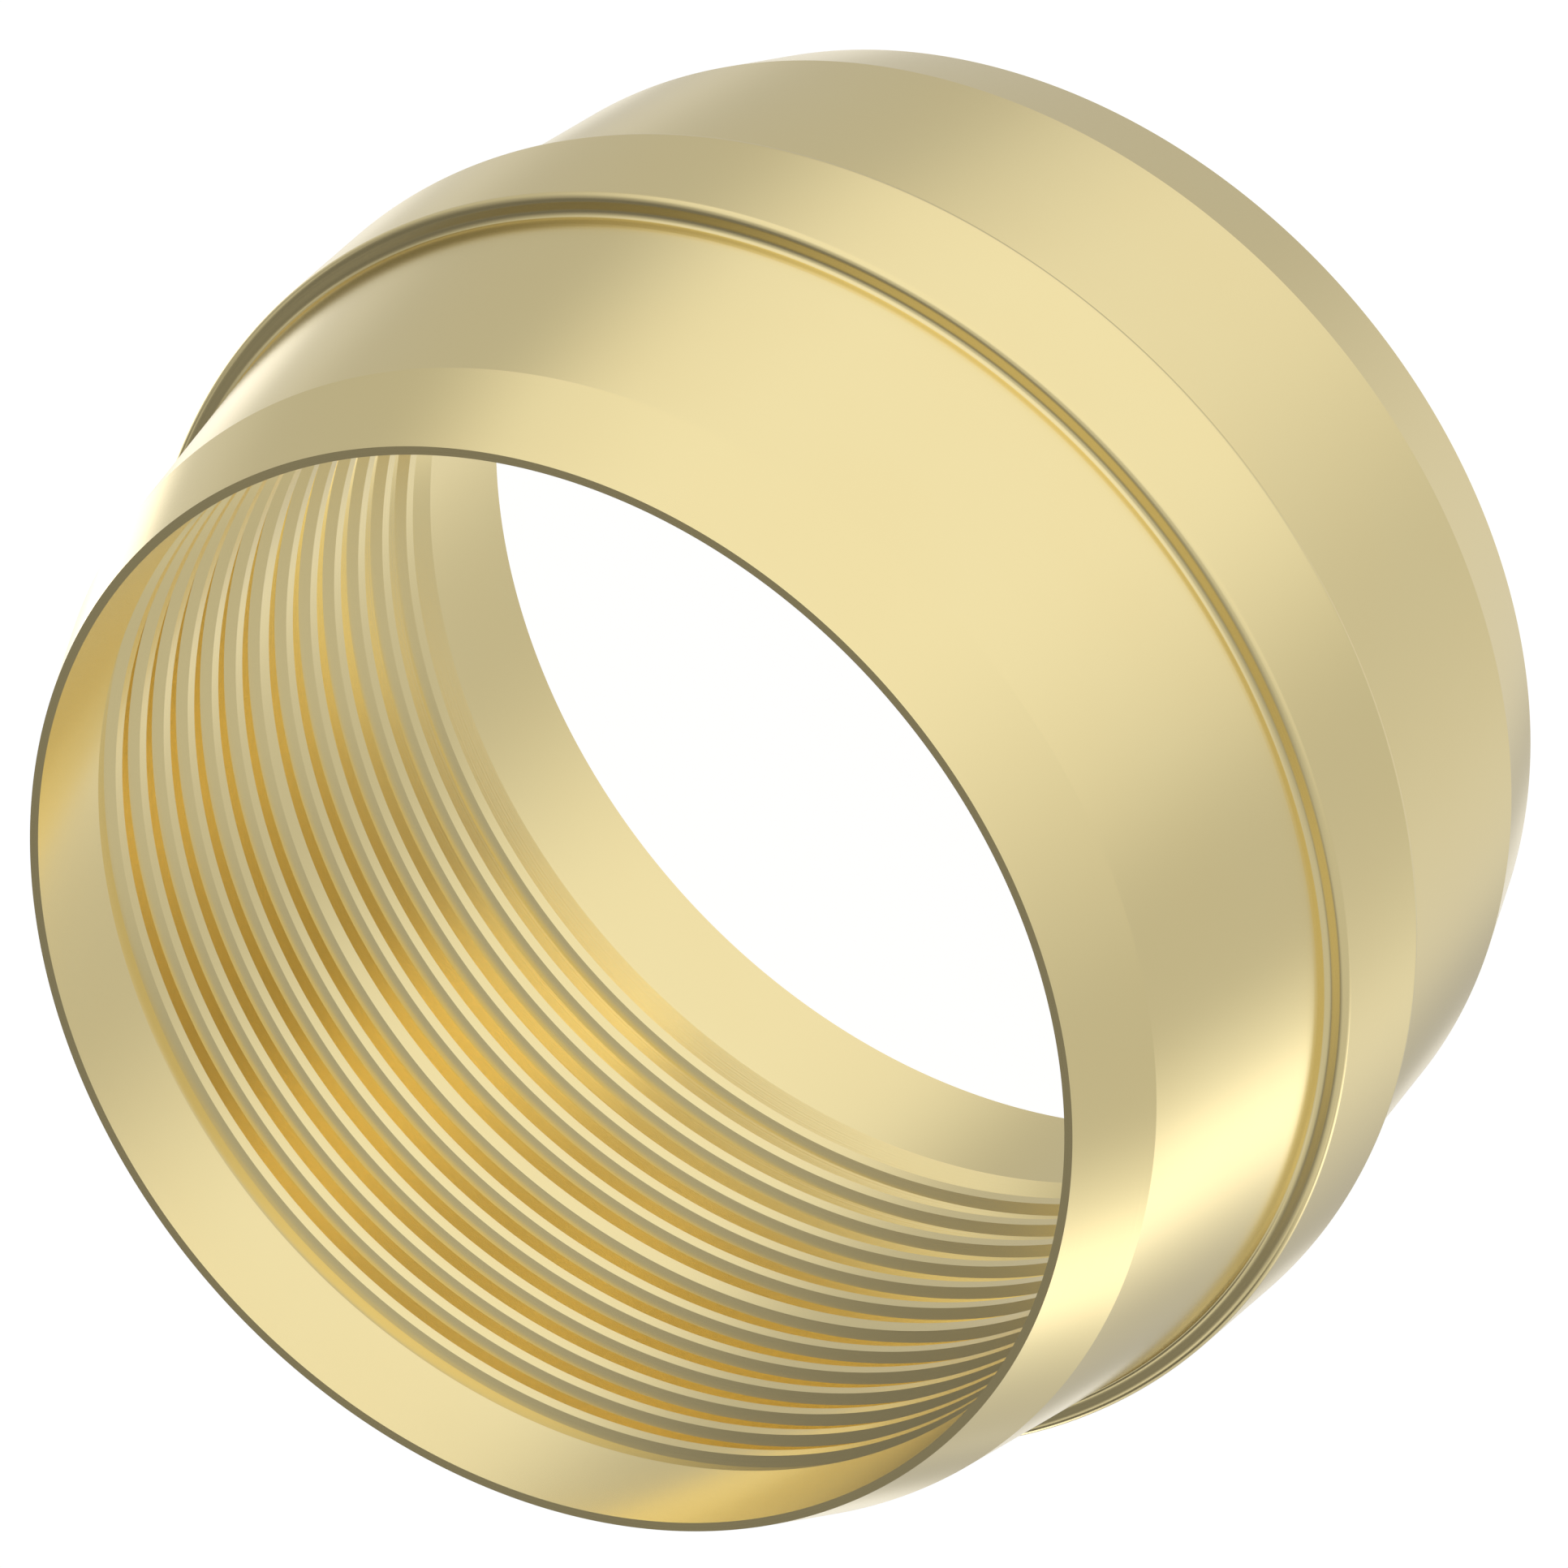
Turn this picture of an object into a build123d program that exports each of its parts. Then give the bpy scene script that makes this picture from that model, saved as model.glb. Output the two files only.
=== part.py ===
from build123d import *
from math import radians, tan
import os

# Brass compression sleeve: one turned ring that stands on its rear rim, with +Z along its axis towards the front rim.
# All sizes are in millimetres.

# Ends and bore
bore_diameter = 63.2
sleeve_length = 48.85
rim_width = 0.50

# Tapers from each rim up to the collar
lead_in_length = 5.50
lead_in_angle = 20.0
body_angle = 7.0

# Collar at mid-length, with its outer corners and its roots bevelled at 45 degrees
collar_width = 7.85
collar_step = 1.20
collar_corner_bevel = 0.27
collar_root_bevel = 0.24

# Plain ends of the bore, and the ring-shaped lands between them
front_bore_length = 6.42
rear_bore_length = 7.00
land_pitch = 2.56
land_width = 0.705
middle_land_width = 0.975

# Groove between two lands: a steep wall, and a floor that rises towards the rear up to the next land
wall_angle = 87.0
floor_angle = 31.5

# The first groove falls gently to the flank of the first land, and the floor of the last one rises more gently
flank_depth = 0.56
flank_angle = 63.0
runout_angle = 22.0

# Radii and heights that follow from the sizes above
bore_radius = bore_diameter / 2
rim_radius = bore_radius + rim_width
lead_in_radius = rim_radius + lead_in_length * tan(radians(lead_in_angle))
collar_rear = (sleeve_length - collar_width) / 2
collar_front = collar_rear + collar_width
body_radius = lead_in_radius + (collar_rear - lead_in_length) * tan(radians(body_angle))
collar_radius = body_radius + collar_step
groove_width = land_pitch - land_width

# As many lands as fit between the two plain ends of the bore, with a groove before, between and after them
ringed_length = sleeve_length - front_bore_length - rear_bore_length
land_count = round((ringed_length - groove_width - (middle_land_width - land_width)) / land_pitch)
middle_land = land_count // 2


def corners_at(section, radius):
    """Corners of a half section that lie at one radius."""
    return [corner for corner in section.vertices() if abs(corner.X - radius) < 1e-6]


def blank_section():
    """Half section of the sleeve with a plain bore."""
    with BuildSketch(Plane.XZ) as section:
        with BuildLine():
            Polyline(
                (bore_radius, 0),
                (rim_radius, 0),
                (lead_in_radius, lead_in_length),
                (body_radius, collar_rear),
                (collar_radius, collar_rear),
                (collar_radius, collar_front),
                (body_radius, collar_front),
                (lead_in_radius, sleeve_length - lead_in_length),
                (rim_radius, sleeve_length),
                (bore_radius, sleeve_length),
                close=True,
            )
        make_face()
        chamfer(corners_at(section, body_radius), collar_root_bevel)
        chamfer(corners_at(section, collar_radius), collar_corner_bevel)
    return section.sketch


def wall_foot(rise_angle):
    """Depth and drop of the corner between the wall of a groove and its floor, which rises at rise_angle."""
    wall_slope = tan(radians(wall_angle))
    floor_slope = tan(radians(rise_angle))
    drop = groove_width * floor_slope / (wall_slope + floor_slope)
    return wall_slope * drop, drop


def groove_section(front, floor_points):
    """Section of one groove whose front edge is at the height front.

    floor_points holds the depth and the height below the front edge of each corner of the groove.
    """
    corners = [(bore_radius + depth, front - drop) for depth, drop in floor_points]
    with BuildSketch(Plane.XZ) as section:
        with BuildLine():
            Polyline((bore_radius, front), *corners, (bore_radius, front - groove_width), close=True)
        make_face()
    return section.sketch


def groove_sections():
    """Every groove of the bore, from the front plain end to the rear one."""
    first_floor = [(flank_depth, groove_width - flank_depth / tan(radians(flank_angle)))]
    floor = [wall_foot(floor_angle)]
    last_floor = [wall_foot(runout_angle)]

    front = sleeve_length - front_bore_length
    sections = [groove_section(front, first_floor)]
    for land in range(land_count):
        width = middle_land_width if land == middle_land else land_width
        front -= groove_width + width
        is_last = land == land_count - 1
        sections.append(groove_section(front, last_floor if is_last else floor))
    return sections


def compression_sleeve():
    """The whole sleeve, turned from one half section."""
    section = blank_section()
    for groove in groove_sections():
        section -= groove
    sleeve = revolve(section, axis=Axis.Z)
    sleeve.label = "compression_sleeve"
    return sleeve


os.makedirs("parts", exist_ok=True)
export_step(compression_sleeve(), "parts/compression_sleeve.step")
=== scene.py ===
"""Looks of a turned brass compression sleeve: its lathed skin, its finish and a soft light tent."""

from __future__ import annotations

import logging
from dataclasses import dataclass
from enum import Enum
from math import atan2, cos, hypot, pi, radians, sin, tan
from typing import Any, Iterable, Sequence, Union

import bpy
from mathutils import Matrix, Vector

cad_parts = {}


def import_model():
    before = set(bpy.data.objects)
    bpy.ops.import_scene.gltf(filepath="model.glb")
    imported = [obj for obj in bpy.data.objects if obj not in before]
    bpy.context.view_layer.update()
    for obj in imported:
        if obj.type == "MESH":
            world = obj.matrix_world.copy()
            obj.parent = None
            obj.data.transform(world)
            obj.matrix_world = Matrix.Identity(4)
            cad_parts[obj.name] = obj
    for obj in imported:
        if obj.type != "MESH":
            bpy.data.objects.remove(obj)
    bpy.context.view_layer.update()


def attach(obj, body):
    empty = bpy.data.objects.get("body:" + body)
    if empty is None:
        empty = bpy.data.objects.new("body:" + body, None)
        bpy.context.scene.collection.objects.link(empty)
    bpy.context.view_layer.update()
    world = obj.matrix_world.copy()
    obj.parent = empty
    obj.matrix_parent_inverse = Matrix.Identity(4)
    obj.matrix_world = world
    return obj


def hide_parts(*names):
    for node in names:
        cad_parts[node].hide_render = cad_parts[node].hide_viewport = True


LOG = logging.getLogger("sleeve")
MM = 0.001
NODE = "compression_sleeve"

GUARD = 0.06 * MM  # gap from the end of an arc to its guard point
MERGE = 0.001 * MM  # points closer than this are one point

Color = tuple[float, float, float, float]
WHITE: Color = (1.0, 1.0, 1.0, 1.0)
NOISE_MIDDLE = 0.5

# Places of the Mix node's sockets for colours, as its sockets for numbers share their names
MIX_FACTOR, MIX_FIRST, MIX_SECOND, MIX_RESULT = 0, 6, 7, 2

Value = Union["Number", float]
Source = Union["Number", bpy.types.NodeSocket]


class Op(Enum):
    """Operations that a number socket can take part in."""

    ADD = "ADD"
    SUBTRACT = "SUBTRACT"
    MULTIPLY = "MULTIPLY"
    POWER = "POWER"
    ABSOLUTE = "ABSOLUTE"
    ARCTAN2 = "ARCTAN2"


class Spread(Enum):
    """Directions that a noise varies in, each with the input that takes the place."""

    LINE = ("1D", "W")
    SPACE = ("3D", "Vector")


@dataclass(frozen=True)
class Number:
    """A number socket that answers to Python's arithmetic by adding Math nodes."""

    tree: Tree
    socket: bpy.types.NodeSocket

    def _join(self, op: Op, left: Value, right: Value = 0.0) -> Number:
        """The result of a new Math node on one value or two."""
        node = self.tree.add("ShaderNodeMath", {"operation": op.value}, {0: left, 1: right})
        return self.tree.number(node.outputs[0])

    def __add__(self, other: Value) -> Number:
        """Sum with a value."""
        return self._join(Op.ADD, self, other)

    def __radd__(self, other: Value) -> Number:
        """Sum with a value on the left."""
        return self._join(Op.ADD, other, self)

    def __sub__(self, other: Value) -> Number:
        """Difference from a value."""
        return self._join(Op.SUBTRACT, self, other)

    def __rsub__(self, other: Value) -> Number:
        """Difference of a value on the left."""
        return self._join(Op.SUBTRACT, other, self)

    def __mul__(self, other: Value) -> Number:
        """Product with a value."""
        return self._join(Op.MULTIPLY, self, other)

    def __rmul__(self, other: Value) -> Number:
        """Product with a value on the left."""
        return self._join(Op.MULTIPLY, other, self)

    def __pow__(self, other: Value) -> Number:
        """This value to a power."""
        return self._join(Op.POWER, self, other)

    def __rpow__(self, other: Value) -> Number:
        """A value on the left to this power."""
        return self._join(Op.POWER, other, self)

    def __abs__(self) -> Number:
        """The value without its sign."""
        return self._join(Op.ABSOLUTE, self)

    def angle_from(self, other: Number) -> Number:
        """The angle whose tangent is this value over another, in radians."""
        return self._join(Op.ARCTAN2, self, other)

    def fade(self, edge: float, reach: float) -> Number:
        """Falls smoothly from 1 to 0 as this angle passes an edge.

        Args:
            edge: the angle in degrees at which the fall starts.
            reach: the angle in degrees over which it falls.

        Returns:
            The share that is left.
        """
        ends = {"Value": self, "From Min": radians(edge + reach), "From Max": radians(edge)}
        node = self.tree.add("ShaderNodeMapRange", {"interpolation_type": "SMOOTHSTEP"}, ends)
        return self.tree.number(node.outputs[0])


@dataclass
class Tree:
    """A node tree that is filled one node at a time."""

    nodes: bpy.types.NodeTree

    @classmethod
    def emptied(cls, owner: bpy.types.Material | bpy.types.World) -> Tree:
        """Empties the node tree of a material or world.

        Args:
            owner: the material or world.

        Returns:
            Its tree.
        """
        owner.use_nodes = True
        owner.node_tree.nodes.clear()
        return cls(owner.node_tree)

    def add(
        self,
        kind: str,
        settings: dict[str, Any] | None = None,
        inputs: dict[int | str, Any] | None = None,
    ) -> bpy.types.Node:
        """Adds one node.

        Args:
            kind: the node's type name.
            settings: properties that are set before the sockets are filled.
            inputs: values, Numbers or sockets by the input's name or place.

        Returns:
            The new node.
        """
        node = self.nodes.nodes.new(kind)
        for name, value in (settings or {}).items():
            setattr(node, name, value)
        for name, value in (inputs or {}).items():
            if isinstance(value, Number):
                value = value.socket
            if isinstance(value, bpy.types.NodeSocket):
                self.nodes.links.new(value, node.inputs[name])
            else:
                node.inputs[name].default_value = value
        return node

    def number(self, socket: bpy.types.NodeSocket) -> Number:
        """Wraps a socket for arithmetic."""
        return Number(self, socket)

    def dot(self, heading: bpy.types.NodeSocket, axis: Vector) -> Number:
        """Adds a dot product.

        Args:
            heading: the direction of a ray.
            axis: a unit vector.

        Returns:
            How far the heading points along the axis.
        """
        inputs = {0: heading, 1: axis}
        node = self.add("ShaderNodeVectorMath", {"operation": "DOT_PRODUCT"}, inputs)
        return self.number(node.outputs["Value"])

    def noise(self, spread: Spread, place: Source, size: float, detail: float) -> Number:
        """Adds a noise texture.

        Args:
            spread: the directions that the noise varies in.
            place: where it is read.
            size: the width of its lumps.
            detail: how many finer layers it has.

        Returns:
            The noise, around NOISE_MIDDLE.
        """
        dimensions, entry = spread.value
        inputs = {entry: place, "Scale": 1.0 / size, "Detail": detail}
        node = self.add("ShaderNodeTexNoise", {"noise_dimensions": dimensions}, inputs)
        return self.number(node.outputs[0])


@dataclass(frozen=True)
class Corner:
    """One corner of the turned section, with the radius of its round and the steps in it."""

    radius: float
    height: float
    blend: float = 0.0
    steps: int = 10

    def at(self) -> Vector:
        """The corner's place in radius and height."""
        return Vector((self.radius, self.height))


def rounded(corners: Sequence[Corner]) -> list[Vector]:
    """Replaces each blended corner of a closed outline by an arc between two guard points.

    The guard points keep the smooth shading of the arc off the long faces beside it.

    Args:
        corners: the outline's corners in order.

    Returns:
        The outline's points in radius and height.
    """
    points: list[Vector] = []
    for place, corner in enumerate(corners):
        here = corner.at()
        if corner.blend <= 0.0:
            points.append(here)
            continue
        back = (corners[place - 1].at() - here).normalized()
        ahead = (corners[(place + 1) % len(corners)].at() - here).normalized()
        reach = corner.blend / tan(back.angle(ahead) / 2)
        centre = here + (back + ahead).normalized() * hypot(reach, corner.blend)
        start = here + back * reach - centre
        end = here + ahead * reach - centre
        first = atan2(start.y, start.x)
        turn = (atan2(end.y, end.x) - first + pi) % (2 * pi) - pi
        points.append(centre + start + back * GUARD)
        for step in range(corner.steps + 1):
            angle = first + turn * step / corner.steps
            points.append(centre + corner.blend * Vector((cos(angle), sin(angle))))
        points.append(centre + end + ahead * GUARD)
    return points


@dataclass(frozen=True)
class Grooves:
    """The ring-shaped lands in the bore and the grooves between them, in metres and radians."""

    pitch: float = 2.56 * MM
    land: float = 0.705 * MM
    middle_land: float = 0.975 * MM
    lands: int = 13
    wall_angle: float = radians(87.0)
    floor_angle: float = radians(21.5)
    flank_depth: float = 0.56 * MM
    flank_angle: float = radians(63.0)
    runout_angle: float = radians(21.0)

    @property
    def width(self) -> float:
        """Width of one groove."""
        return self.pitch - self.land

    def wall_foot(self, rise: float, end_depth: float, end_drop: float) -> tuple[float, float]:
        """Depth and drop of the corner between a groove's wall and its floor.

        Args:
            rise: the angle at which the floor rises to the rear.
            end_depth: the depth at which the floor ends.
            end_drop: how far behind the groove's front edge it ends.

        Returns:
            The corner's depth and its distance behind the front edge.
        """
        wall_slope = tan(self.wall_angle)
        floor_slope = tan(rise)
        drop = (end_depth + end_drop * floor_slope) / (wall_slope + floor_slope)
        return wall_slope * drop, drop

    def corners(self, bore: float, front: float) -> list[Corner]:
        """Corners of every groove, from the front of the bore to its rear.

        The first groove is one long floor and a flank, and the last one a wall and one long floor.
        Each groove between them has a wall, a floor and a flank.

        Args:
            bore: the radius of the bore.
            front: the height at which the first groove starts.

        Returns:
            The corners in order.
        """
        flank_foot = self.flank_depth, self.width - self.flank_depth / tan(self.flank_angle)
        sections = [[self.wall_foot(self.floor_angle, *flank_foot), flank_foot]] * (self.lands + 1)
        sections[0] = [flank_foot]
        sections[-1] = [self.wall_foot(self.runout_angle, 0.0, self.width)]
        made: list[Corner] = []
        for groove, section in enumerate(sections):
            made.append(Corner(bore, front))
            made += [Corner(bore + depth, front - drop) for depth, drop in section]
            front -= self.width
            made.append(Corner(bore, front))
            front -= self.middle_land if groove == self.lands // 2 else self.land
        return made


@dataclass(frozen=True)
class Sleeve:
    """The turned sleeve as one lathed skin that stands for the solid, in metres and radians."""

    bore: float = 31.6 * MM
    length: float = 48.85 * MM
    rim: float = 0.50 * MM
    lead_in_length: float = 5.50 * MM
    lead_in_angle: float = radians(20.0)
    body_angle: float = radians(7.0)
    collar_width: float = 7.85 * MM
    collar_step: float = 1.20 * MM
    collar_corner: float = 0.45 * MM
    collar_root: float = 0.40 * MM
    front_bore: float = 6.42 * MM
    grooves: Grooves = Grooves()
    segments: int = 384
    crease: float = radians(12.0)

    def outline(self) -> list[Vector]:
        """Draws the section, from the rear rim up the outside and back down the bore.

        Returns:
            Its points in radius and height.
        """
        rim = self.bore + self.rim
        lead_in = rim + self.lead_in_length * tan(self.lead_in_angle)
        rear = (self.length - self.collar_width) / 2
        front = rear + self.collar_width
        body = lead_in + (rear - self.lead_in_length) * tan(self.body_angle)
        collar = body + self.collar_step
        outside = [
            Corner(self.bore, 0.0),
            Corner(rim, 0.0),
            Corner(lead_in, self.lead_in_length),
            Corner(body, rear, self.collar_root),
            Corner(collar, rear, self.collar_corner),
            Corner(collar, front, self.collar_corner),
            Corner(body, front, self.collar_root),
            Corner(lead_in, self.length - self.lead_in_length),
            Corner(rim, self.length),
            Corner(self.bore, self.length),
        ]
        return rounded(outside + self.grooves.corners(self.bore, self.length - self.front_bore))

    def build(self) -> bpy.types.Object:
        """Draws the section as one line of edges and spins it round the axis.

        Returns:
            The skin, with its place in its mesh.
        """
        points = [Vector((point.x, 0.0, point.y)) for point in self.outline()]
        bpy.ops.object.select_all(action="DESELECT")
        bpy.ops.mesh.primitive_plane_add(size=self.rim, location=points[0])
        skin = bpy.context.object
        skin.name = "sleeve_skin"
        bpy.ops.object.transform_apply(location=True, rotation=False, scale=False)
        bpy.ops.object.mode_set(mode="EDIT")
        # The plane shrinks to the line's first point
        bpy.ops.mesh.select_all(action="SELECT")
        bpy.ops.mesh.merge(type="CENTER")
        for before, after in zip(points, points[1:] + points[:1]):
            bpy.ops.mesh.extrude_region_move(TRANSFORM_OT_translate={"value": after - before})
        bpy.ops.mesh.select_all(action="SELECT")
        bpy.ops.mesh.remove_doubles(threshold=MERGE)
        bpy.ops.mesh.spin(steps=self.segments, angle=2 * pi, center=(0, 0, 0), axis=(0, 0, 1))
        bpy.ops.mesh.select_all(action="SELECT")
        bpy.ops.mesh.remove_doubles(threshold=MERGE)
        bpy.ops.mesh.normals_make_consistent(inside=False)
        bpy.ops.object.mode_set(mode="OBJECT")
        bpy.ops.object.shade_smooth_by_angle(angle=self.crease)
        return skin


@dataclass(frozen=True)
class TurnedBrass:
    """Bright turned brass with the faint lay of a fine cut and slightly uneven patches."""

    pale: Color = (1.0, 0.854, 0.458, 1.0)
    warm: Color = (1.0, 0.838, 0.436, 1.0)
    roughness: float = 0.20
    lay_width: float = 0.11 * MM
    lay_detail: float = 3.0
    lay_height: float = 0.0015 * MM
    lay_roughness: float = 0.05
    patch_size: float = 9.0 * MM
    patch_detail: float = 2.0
    patch_roughness: float = 0.03

    def material(self) -> bpy.types.Material:
        """Mixes the finish.

        Returns:
            The finished material.
        """
        made = bpy.data.materials.new("turned_brass")
        tree = Tree.emptied(made)
        place = tree.add("ShaderNodeTexCoord").outputs["Object"]
        parts = tree.add("ShaderNodeSeparateXYZ", inputs={0: place}).outputs
        across, aside, height = (tree.number(socket) for socket in parts)
        # Radius and height together change along the whole section, so the lay runs round the axis
        travel = (across * across + aside * aside) ** 0.5 + height
        lay = tree.noise(Spread.LINE, travel, self.lay_width, self.lay_detail)
        patch = tree.noise(Spread.SPACE, place, self.patch_size, self.patch_detail)
        color = tree.add(
            "ShaderNodeMix",
            {"data_type": "RGBA"},
            {MIX_FACTOR: patch, MIX_FIRST: self.pale, MIX_SECOND: self.warm},
        )
        cut = tree.add("ShaderNodeBump", inputs={"Height": lay, "Distance": self.lay_height})
        uneven = (lay - NOISE_MIDDLE) * self.lay_roughness
        uneven += (patch - NOISE_MIDDLE) * self.patch_roughness
        shader = tree.add(
            "ShaderNodeBsdfPrincipled",
            inputs={
                "Base Color": color.outputs[MIX_RESULT],
                "Metallic": 1.0,
                "Roughness": uneven + self.roughness,
                "Normal": cut.outputs[0],
            },
        )
        tree.add("ShaderNodeOutputMaterial", inputs={"Surface": shader.outputs[0]})
        return made


@dataclass(frozen=True)
class Card:
    """One soft rectangular card of the light tent, in degrees as the sleeve sees it.

    Azimuth 0 is the camera's side and 90 is +X.
    """

    azimuth: float
    elevation: float
    half_width: float
    side_fade: float
    half_height: float
    end_fade: float
    brightness: float

    def axes(self) -> tuple[Vector, Vector, Vector]:
        """Turns the card's angles into directions.

        Returns:
            Unit vectors towards the card, to its side and to its top.
        """
        around, above = radians(self.azimuth), radians(self.elevation)
        towards = Vector((cos(above) * sin(around), -cos(above) * cos(around), sin(above)))
        side = Vector((cos(around), sin(around), 0.0))
        return towards, side, towards.cross(side)

    def share(self, tree: Tree, heading: bpy.types.NodeSocket) -> Number:
        """How much of the light from a heading is this card's.

        Args:
            tree: the world's nodes.
            heading: the direction of the ray.

        Returns:
            1 on the card, falling to 0 over its fades.
        """
        towards, side, top = (tree.dot(heading, axis) for axis in self.axes())
        across = abs(side.angle_from(towards)).fade(self.half_width, self.side_fade)
        along = abs(top.angle_from(towards)).fade(self.half_height, self.end_fade)
        return across * along


@dataclass(frozen=True)
class Studio:
    """Camera, white floor and light tent.

    The first five values are the photograph's: its width in pixels, the size of a pixel on the
    object, the angle between the view and the sleeve's axis, the heading of that axis in the
    picture (right, up), and the column and row of the front rim's centre.
    """

    photo_size: float = 1932.0
    pixel: float = 0.04328 * MM
    axis_angle: float = radians(41.41)
    axis_heading: tuple[float, float] = (-0.7560, -0.6546)
    front_rim_pixel: tuple[float, float] = (679.12, 1218.36)
    distance: float = 0.5
    clip_end: float = 10.0
    floor_size: float = 6.0
    floor_gap: float = 0.02 * MM
    floor_glow: float = 0.97
    floor_paint: float = 0.12
    base: float = 0.541
    cards: tuple[Card, ...] = (
        Card(26.5, -15.0, 20.9, 70.0, 37.7, 34.2, 0.895),
        Card(-105.4, -30.5, 7.7, 16.9, 11.6, 9.1, 0.871),
        Card(-179.3, 0.2, 29.4, 9.4, 43.0, 10.7, 1.800),
        Card(-124.9, -76.2, 8.6, 31.4, 21.6, 9.5, 0.686),
        Card(99.3, -41.7, 21.1, 20.7, 19.3, 9.1, 0.860),
        Card(109.5, -30.6, 9.6, 26.0, 53.8, 17.8, 0.500),
        Card(-153.0, -40.4, 1.5, 17.2, 16.7, 9.0, 0.455),
        Card(-54.2, 94.3, 4.9, 18.3, 1.0, 69.8, 0.364),
        Card(154.3, 37.4, 13.7, 66.6, 19.8, 52.7, 0.151),
        Card(-166.6, 22.7, 26.3, 57.4, 4.6, 21.3, 1.149),
        Card(-166.0, 19.3, 36.3, 29.3, 7.7, 14.7, 0.100),
        Card(-106.9, -31.1, 2.5, 10.6, 8.3, 10.6, 1.360),
    )
    backdrop: Card = Card(180.0, -48.6, 6.0, 8.0, 6.0, 8.0, 1.0)

    def camera(self, height: float) -> None:
        """Places the parallel camera, rolled as the photograph has it.

        Args:
            height: the height of the front rim above the floor.
        """
        across = Vector((1.0, 0.0, 0.0))
        back = Vector((0.0, -sin(self.axis_angle), cos(self.axis_angle)))
        upward = back.cross(across)
        along, aside = self.axis_heading
        right = along * upward + aside * across
        top = back.cross(right)
        centre = self.photo_size / 2
        column, row = self.front_rim_pixel
        aim = Vector((0.0, 0.0, height))
        aim += self.pixel * ((centre - column) * right + (row - centre) * top)
        bpy.ops.object.camera_add()
        camera = bpy.context.object
        camera.name = "camera"
        camera.data.type = "ORTHO"
        camera.data.ortho_scale = self.photo_size * self.pixel
        camera.data.clip_end = self.clip_end
        turned = Matrix((right, top, back)).transposed().to_4x4()
        camera.matrix_world = Matrix.Translation(aim + back * self.distance) @ turned
        bpy.context.scene.camera = camera

    def floor(self) -> None:
        """A white floor that the metal doesn't mirror and that keeps a faint shadow."""
        bpy.ops.object.select_all(action="DESELECT")
        bpy.ops.mesh.primitive_plane_add(size=self.floor_size, location=(0, 0, -self.floor_gap))
        floor = bpy.context.object
        floor.name = "floor"
        made = bpy.data.materials.new("white_floor")
        tree = Tree.emptied(made)
        grey = (self.floor_paint, self.floor_paint, self.floor_paint, 1.0)
        paint = tree.add("ShaderNodeBsdfDiffuse", inputs={"Color": grey})
        glow = tree.add("ShaderNodeEmission", inputs={"Color": WHITE, "Strength": self.floor_glow})
        both = tree.add("ShaderNodeAddShader", inputs={0: paint.outputs[0], 1: glow.outputs[0]})
        tree.add("ShaderNodeOutputMaterial", inputs={"Surface": both.outputs[0]})
        floor.data.materials.append(made)
        floor.visible_glossy = False

    def world(self) -> None:
        """A light tent of one even grey and soft cards, each laid over the ones before it.

        Camera and transmission rays meet plain white, and the metal mirrors white only from the
        backdrop.
        """
        world = bpy.data.worlds.new("light_tent")
        bpy.context.scene.world = world
        tree = Tree.emptied(world)
        heading = tree.add("ShaderNodeTexCoord").outputs["Generated"]
        light: Value = self.base
        for card in self.cards:
            light = card.share(tree, heading) * (card.brightness - light) + light
        tent = tree.add("ShaderNodeBackground", inputs={"Color": WHITE, "Strength": light})
        white = tree.add("ShaderNodeBackground", inputs={"Color": WHITE, "Strength": 1.0})
        path = tree.add("ShaderNodeLightPath")
        seen, glossy, through = (
            tree.number(path.outputs[f"Is {kind} Ray"])
            for kind in ("Camera", "Glossy", "Transmission")
        )
        white_share = seen + through + glossy * self.backdrop.share(tree, heading)
        inputs = {0: white_share, 1: tent.outputs[0], 2: white.outputs[0]}
        both = tree.add("ShaderNodeMixShader", inputs=inputs)
        tree.add("ShaderNodeOutputWorld", inputs={"Surface": both.outputs[0]})


def main() -> None:
    """Builds the sleeve and the studio."""
    logging.basicConfig(level=logging.INFO, format="%(message)s")
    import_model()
    sleeve = Sleeve()
    skin = sleeve.build()
    skin.data.materials.append(TurnedBrass().material())
    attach(skin, "root")
    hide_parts(NODE)
    LOG.info("%s has %d faces", skin.name, len(skin.data.polygons))
    studio = Studio()
    studio.floor()
    studio.world()
    studio.camera(sleeve.length)
    bpy.context.scene.view_settings.view_transform = "Standard"


if __name__ == "__main__":
    main()
